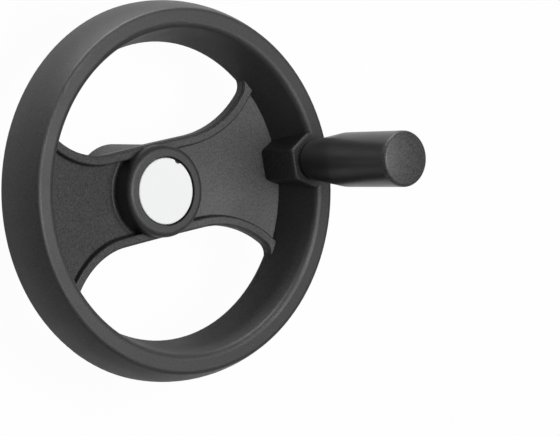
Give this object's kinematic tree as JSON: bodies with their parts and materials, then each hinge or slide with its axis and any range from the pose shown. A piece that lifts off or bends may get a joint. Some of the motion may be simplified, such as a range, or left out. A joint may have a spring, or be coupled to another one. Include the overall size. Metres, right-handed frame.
{
  "type": "machine handwheel",
  "caption": "Two-spoke moulded handwheel with a dished web, a capped hub and a tapered grip that turns on its own spindle.",
  "frame": {"origin": "centre of the hub's back face, on the wheel's axis", "axes": "+Z along the wheel's axis from the hub's back face towards the grip's free end, +X from the axis towards the grip, +Y completes a right-handed frame"},
  "size_m": [0.2, 0.2, 0.1458],
  "materials": {
    "wheel_plastic": "dark grey glass-filled nylon, very fine grain, satin",
    "grip_plastic": "dark grey nylon, smooth satin",
    "cap_plastic": "light grey plastic, smooth matt",
    "steel": "turned and zinc plated",
    "ring_steel": "dark oiled spring steel",
    "insert_brass": "turned"
  },
  "bodies": {
    "wheel": {"wheel_body": "wheel_plastic", "hub_bush": "steel", "hub_cap": "cap_plastic", "boss_insert": "insert_brass", "spindle": "steel", "retaining_washer": "steel", "retaining_ring": "ring_steel"},
    "grip": {"grip_sleeve": "grip_plastic", "grip_end_cap": "grip_plastic"}
  },
  "joints": [
    {"name": "grip_spin", "type": "hinge", "parent": "wheel", "child": "grip", "pos_m": [0.0843, 0, 0.1], "axis": [0, 0, 1], "continuous": true}
  ]
}
